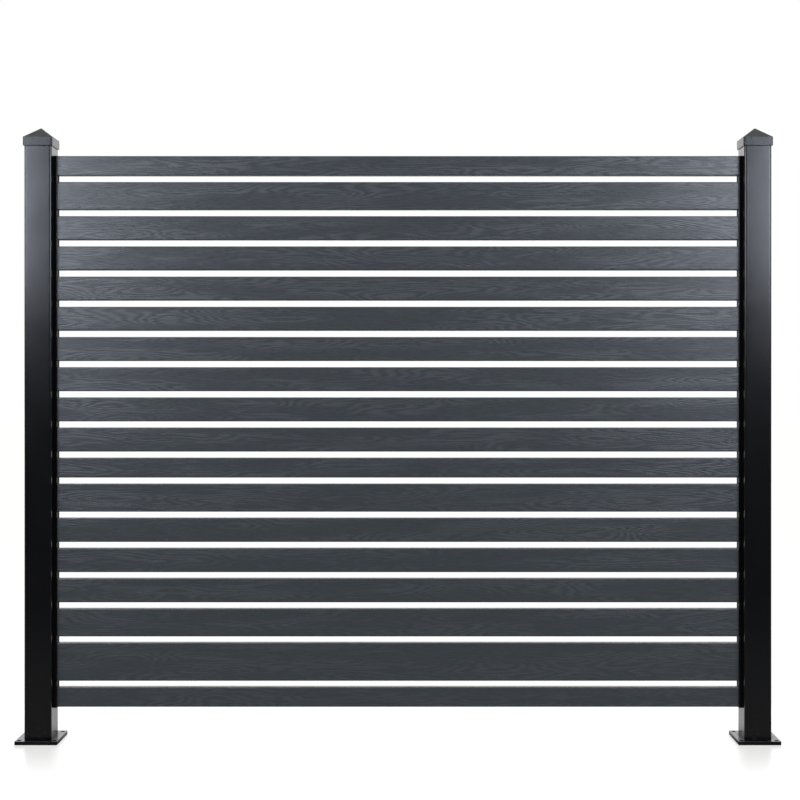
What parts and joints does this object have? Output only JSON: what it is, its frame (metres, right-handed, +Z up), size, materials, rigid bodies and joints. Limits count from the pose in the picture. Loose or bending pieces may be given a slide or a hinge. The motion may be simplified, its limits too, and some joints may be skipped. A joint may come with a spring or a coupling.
{
  "type": "garden privacy screen",
  "caption": "Free-standing garden privacy screen: horizontal wood-grain slats of mixed heights between two square posts with pyramid caps and bolt-down base plates.",
  "frame": {"origin": "On the ground, midway between the two posts, in the middle of the panel's thickness.", "axes": "+Z up, +X along the panel from the left post to the right post as seen from the front, +Y from front to back."},
  "size_m": [2.516, 0.14, 2.0348],
  "materials": {
    "slat_composite": "embossed wood grain, slate grey composite",
    "post_coat": "satin anthracite powder coat",
    "cap_coat": "satin anthracite powder coat on a casting",
    "plate_coat": "satin anthracite powder coat",
    "channel_coat": "satin black powder coat",
    "screw_steel": "plain stainless steel",
    "spacer_plastic": "moulded black plastic"
  },
  "bodies": {
    "root": {"left_post": "post_coat", "left_post_cap": "cap_coat", "left_base_plate": "plate_coat", "left_plate_screws": "screw_steel", "left_side_channel": "channel_coat", "left_channel_screws": "screw_steel", "left_slat_spacers": "spacer_plastic", "right_post": "post_coat", "right_post_cap": "cap_coat", "right_base_plate": "plate_coat", "right_plate_screws": "screw_steel", "right_side_channel": "channel_coat", "right_channel_screws": "screw_steel", "right_slat_spacers": "spacer_plastic", "slat_01": "slat_composite", "slat_02": "slat_composite", "slat_03": "slat_composite", "slat_04": "slat_composite", "slat_05": "slat_composite", "slat_06": "slat_composite", "slat_07": "slat_composite", "slat_08": "slat_composite", "slat_09": "slat_composite", "slat_10": "slat_composite", "slat_11": "slat_composite", "slat_12": "slat_composite", "slat_13": "slat_composite", "slat_14": "slat_composite", "slat_15": "slat_composite", "slat_16": "slat_composite", "slat_17": "slat_composite", "slat_18": "slat_composite"}
  },
  "joints": []
}
